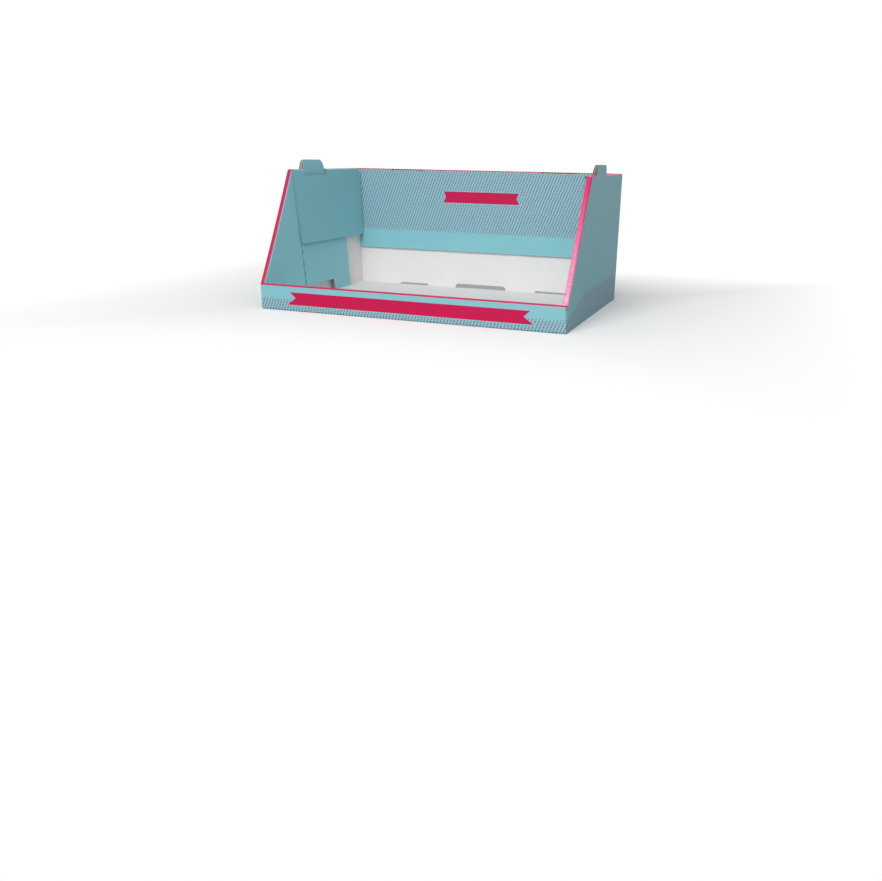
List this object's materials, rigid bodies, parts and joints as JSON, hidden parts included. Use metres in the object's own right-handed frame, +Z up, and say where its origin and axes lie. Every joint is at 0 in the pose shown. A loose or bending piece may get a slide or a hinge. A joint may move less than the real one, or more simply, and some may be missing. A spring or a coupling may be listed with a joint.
{
  "type": "stackable display tray",
  "caption": "Open-fronted corrugated display tray with a low rolled lip, sloping double sides, stacking tabs with matching floor slots, and a rolled back wall with header slots.",
  "frame": {"origin": "middle of the underside of the floor", "axes": "+X along the lip to the right seen from the front, +Y from the lip to the back wall, +Z up"},
  "size_m": [0.6026, 0.398, 0.27],
  "materials": {
    "printed_board": "matte"
  },
  "bodies": {
    "root": {"tray": "printed_board"}
  },
  "joints": []
}
